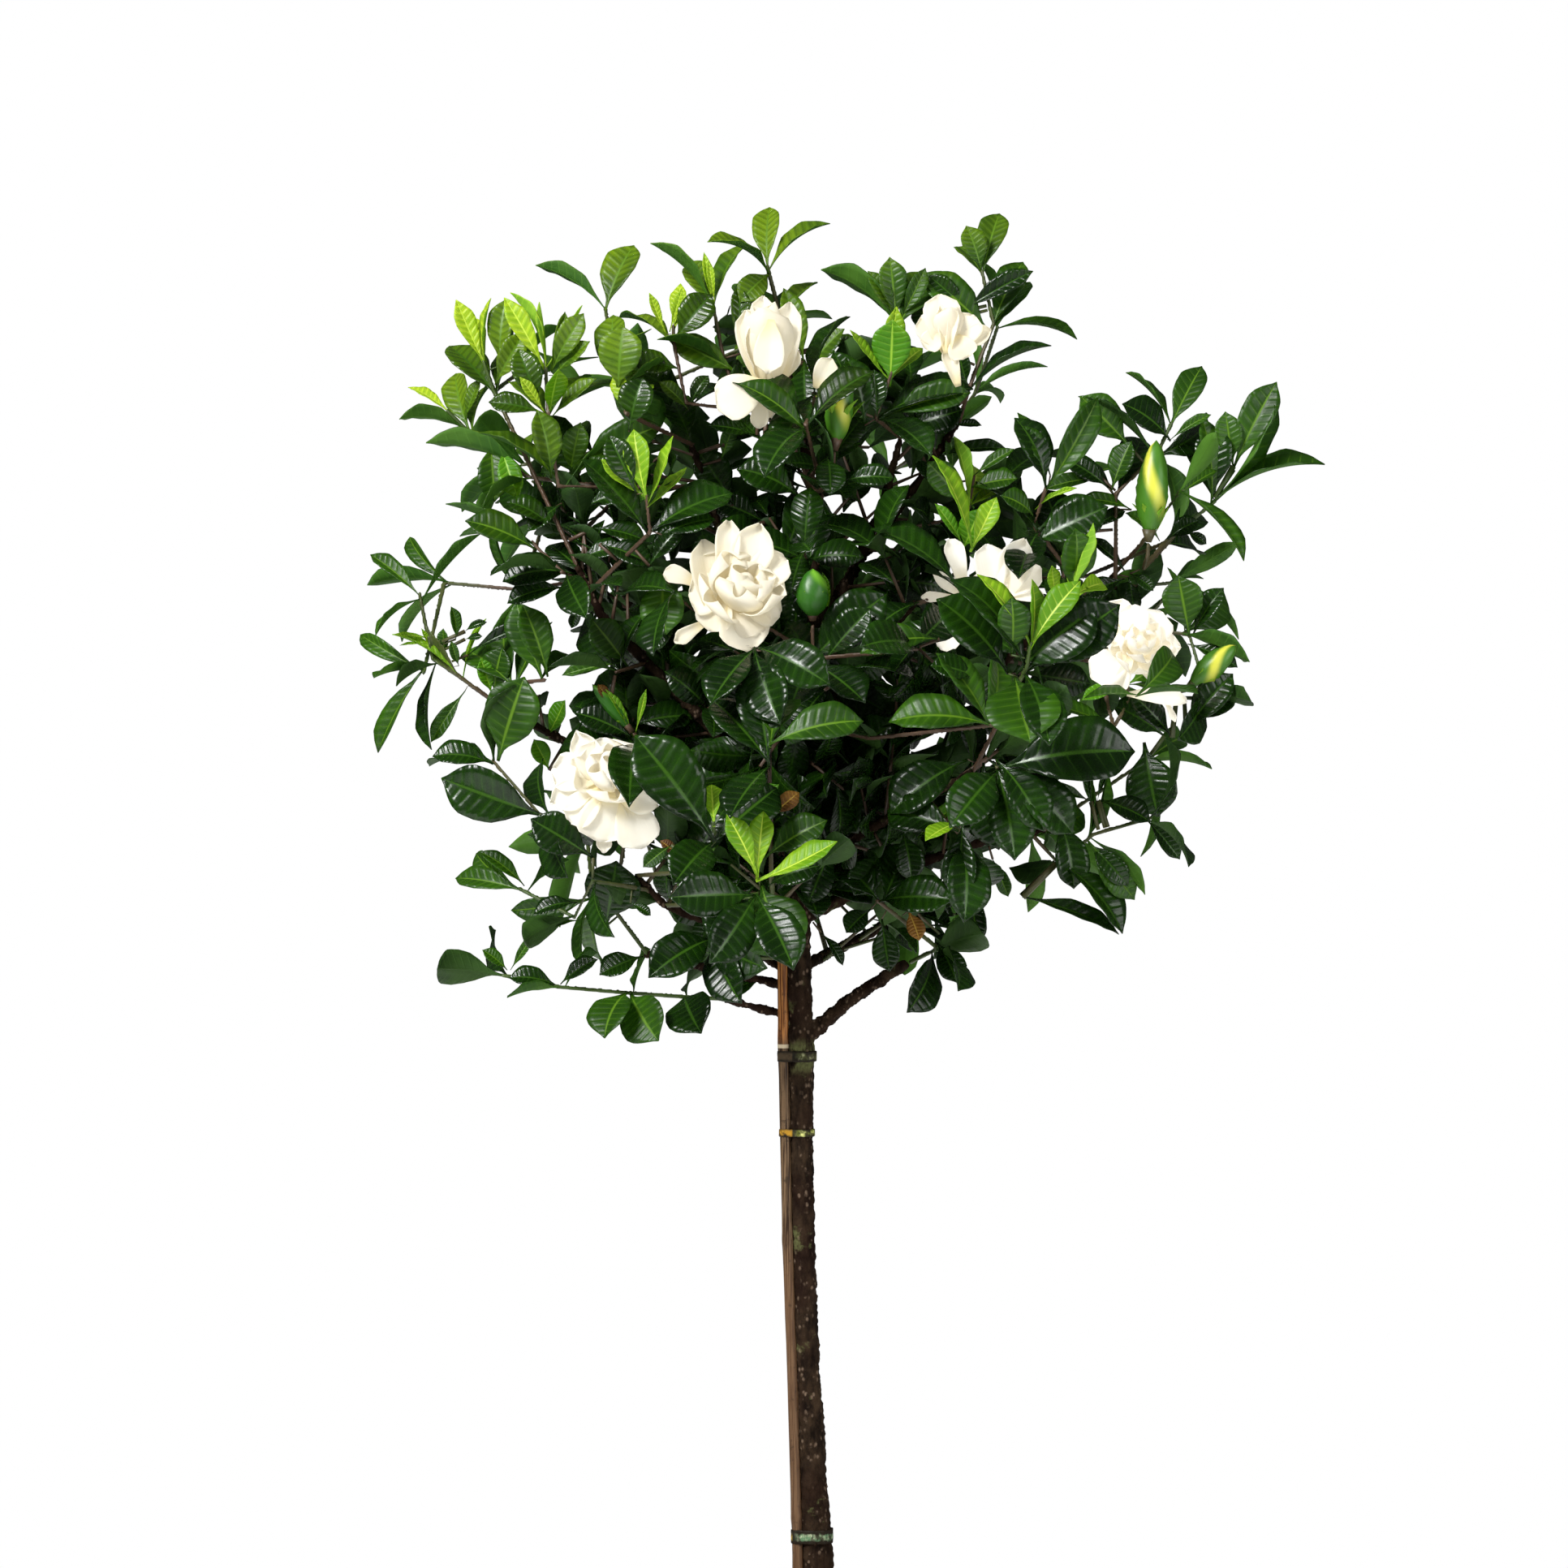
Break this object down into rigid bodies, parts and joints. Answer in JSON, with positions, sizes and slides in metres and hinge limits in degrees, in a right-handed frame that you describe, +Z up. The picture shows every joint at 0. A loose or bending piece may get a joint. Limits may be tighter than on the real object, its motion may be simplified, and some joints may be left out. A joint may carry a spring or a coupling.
{
  "type": "potted gardenia standard",
  "caption": "Gardenia grown as a standard: a leafy round crown with white double flowers and buds on one bare trunk, tied to a cane, in a plain round clay pot.",
  "frame": {"origin": "centre of the pot's base, on the surface that the pot stands on", "axes": "+Z up along the plant, +X to the right as seen from its front, +Y to its back"},
  "size_m": [0.6199, 0.4833, 1.195],
  "materials": {
    "terracotta": "plain unglazed clay, matt",
    "soil": "damp potting mix with bark chips, matt",
    "bark": "dark rough bark with pale specks",
    "cane": "weathered bamboo, half matt",
    "tie_grey_green": "flat tying band, half matt",
    "tie_yellow_green": "flat tying band, half matt",
    "tie_pale": "flat tying band, half matt",
    "leaf": "leathery leaf, glossy above and paler below; new shoots bright yellow-green",
    "petal": "soft waxy white petal",
    "bud": "smooth bud, satin"
  },
  "bodies": {
    "root": {"pot": "terracotta", "soil": "soil", "trunk": "bark", "cane": "cane", "tie_crown_foot": "tie_grey_green", "tie_upper": "tie_yellow_green", "tie_low": "tie_pale", "bloom_main": "petal", "bloom_top": "petal", "bloom_half_right": "petal", "bloom_right_hidden": "petal", "bloom_far_right": "petal", "bloom_left": "petal", "bud_green": "bud", "bud_top": "bud", "bud_right_up": "bud", "bud_right_low": "bud", "bud_small_left": "bud", "spray_crest_left": "leaf", "spray_crest_left_long": "leaf", "spray_left_shelf": "leaf", "spray_top_left": "leaf", "spray_crest_fan": "leaf", "spray_crown_tip": "leaf", "spray_bud_collar": "leaf", "spray_crest_right": "leaf", "spray_high_right": "leaf", "spray_right_inner": "leaf", "spray_right_crest": "leaf", "spray_far_right": "leaf", "spray_right_shoulder": "leaf", "spray_far_bloom": "leaf", "spray_right_front": "leaf", "spray_hero_whorl": "leaf", "spray_shelf_right": "leaf", "spray_right_drape": "leaf", "spray_centre_drape": "leaf", "spray_centre_shoot": "leaf", "spray_bud_green": "leaf", "spray_under_bloom": "leaf", "spray_bright_left": "leaf", "spray_front_low": "leaf", "spray_big_left": "leaf", "spray_left_bloom": "leaf", "spray_glossy_left": "leaf", "spray_left_drape": "leaf", "spray_low_left": "leaf", "spray_under_left": "leaf", "spray_right_low": "leaf", "spray_low_right": "leaf", "spray_far_left": "leaf", "spray_left_round": "leaf", "spray_left_inner": "leaf", "spray_back_low_left": "leaf", "spray_back_low_right": "leaf", "spray_back_left": "leaf", "spray_back_middle": "leaf", "spray_back_right": "leaf", "spray_back_high_left": "leaf", "spray_back_high_right": "leaf"}
  },
  "joints": []
}
